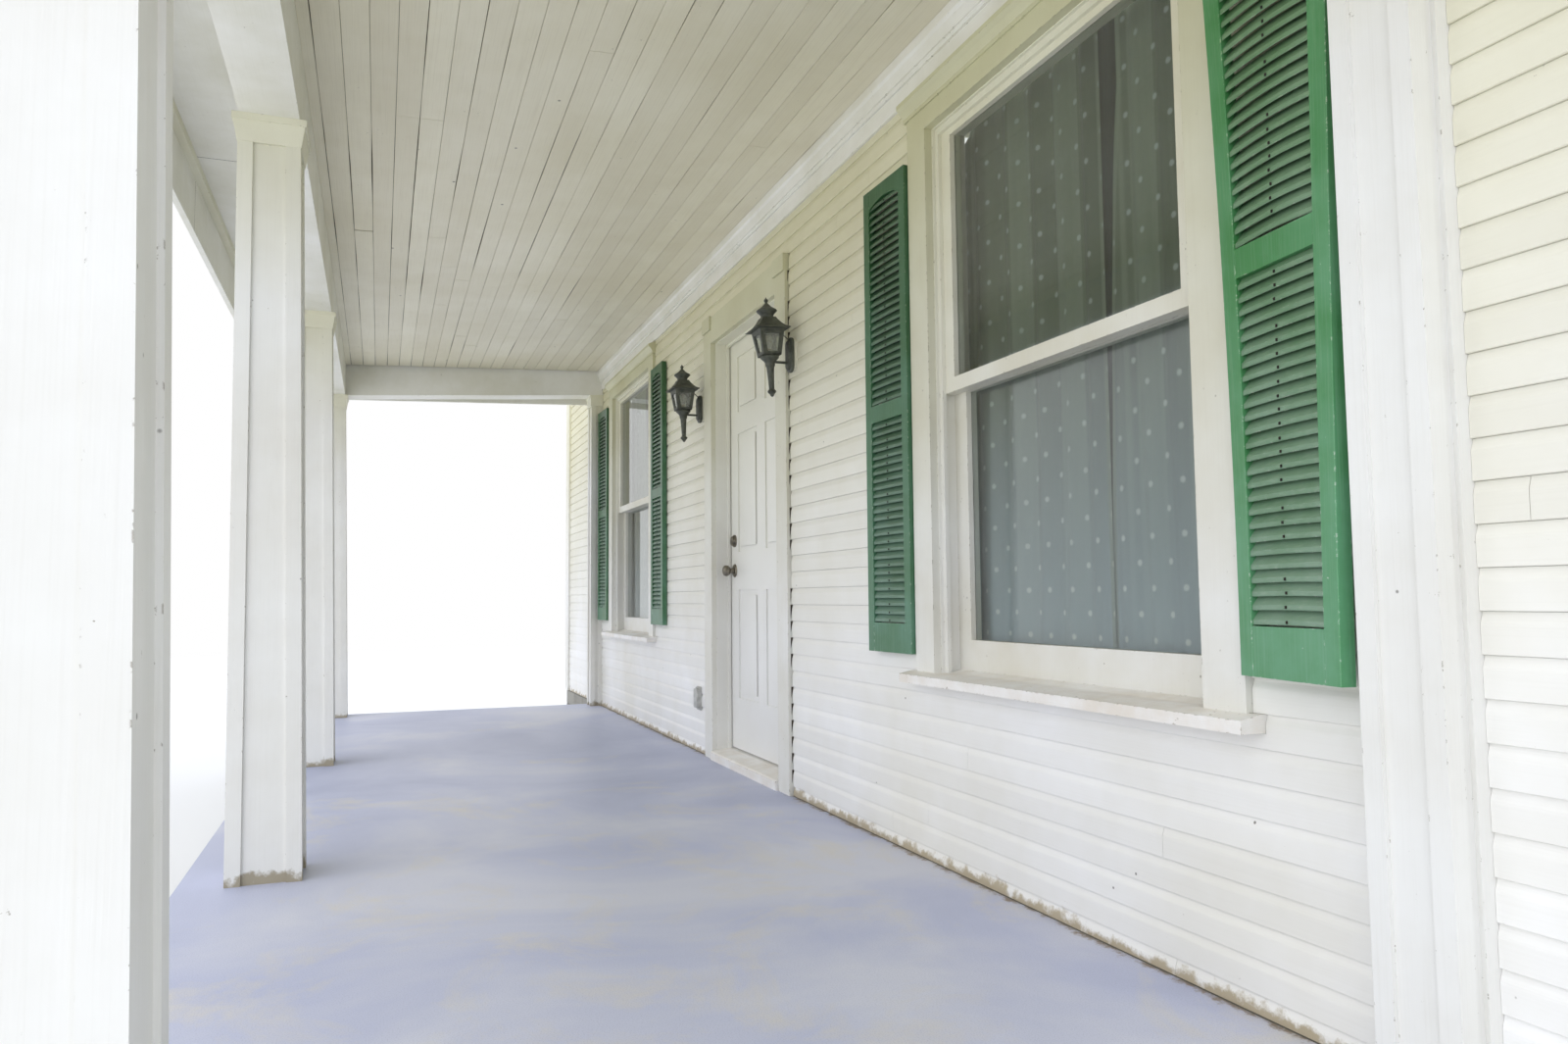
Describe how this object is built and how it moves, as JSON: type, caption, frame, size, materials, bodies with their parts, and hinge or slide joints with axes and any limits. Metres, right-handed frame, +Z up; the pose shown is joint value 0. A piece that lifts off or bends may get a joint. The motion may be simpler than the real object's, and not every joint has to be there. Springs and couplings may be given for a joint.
{
  "type": "front porch",
  "caption": "Covered front porch of a clapboard house: boxed columns, board ceiling, painted floor, panelled door, sash windows, louvred shutters and wall lanterns.",
  "frame": {"origin": "on the ground under the middle of the door, at the wall's front face: on the flat bottom of the footing under the house wall", "axes": "+X along the wall to the right seen from inside the house, towards the door's hinge side; +Y into the house; +Z up"},
  "size_m": [9.912, 2.5165, 3.8124],
  "materials": {
    "block": "rough concrete block",
    "floor_paint": "worn blue-grey paint on concrete",
    "siding": "white painted clapboards",
    "trim": "white painted boards",
    "ceiling_board": "cream painted boards",
    "shingle": "mineral shingles",
    "door_paint": "white satin paint",
    "pewter": "aged pewter finish",
    "hinge_steel": "plain",
    "glass": "clear",
    "rod": "white",
    "sheer": "sheer with woven dots",
    "green_paint": "green gloss paint, worn edges",
    "dark_iron": "weathered dark paint",
    "lamp_glass": "dusty"
  },
  "bodies": {
    "porch": {"porch_footing_front": "block", "porch_footing_left": "block", "porch_footing_right": "block", "house_footing": "block", "porch_floor": "floor_paint", "wall_left": "siding", "wall_right": "siding", "wall_over_door": "siding", "frieze_board": "trim", "corner_boards": "trim", "columns": "trim", "capitals": "trim", "pilasters": "trim", "front_beam": "trim", "end_beams": "trim", "ceiling": "ceiling_board", "soffit": "trim", "fascia": "trim", "eave_trim": "trim", "roof_front": "shingle", "roof_left": "shingle", "roof_right": "shingle", "door_casing": "trim", "door_frame": "trim", "door_sill": "trim", "window_frames": "trim", "window_casings": "trim", "window_sills": "trim", "upper_sashes": "trim", "lower_sashes": "trim", "window_glass": "glass", "curtain_rods": "rod", "curtains": "sheer", "shutters": "green_paint", "lanterns": "dark_iron", "lantern_glass": "lamp_glass"},
    "door": {"door_leaf": "door_paint", "door_lockset": "pewter", "door_hinges": "hinge_steel"}
  },
  "joints": [
    {"name": "door_hinge", "type": "hinge", "parent": "porch", "child": "door", "pos_m": [0.4605, 0.131, 1.4], "axis": [0, 0, -1], "range_deg": [0, 90]}
  ]
}
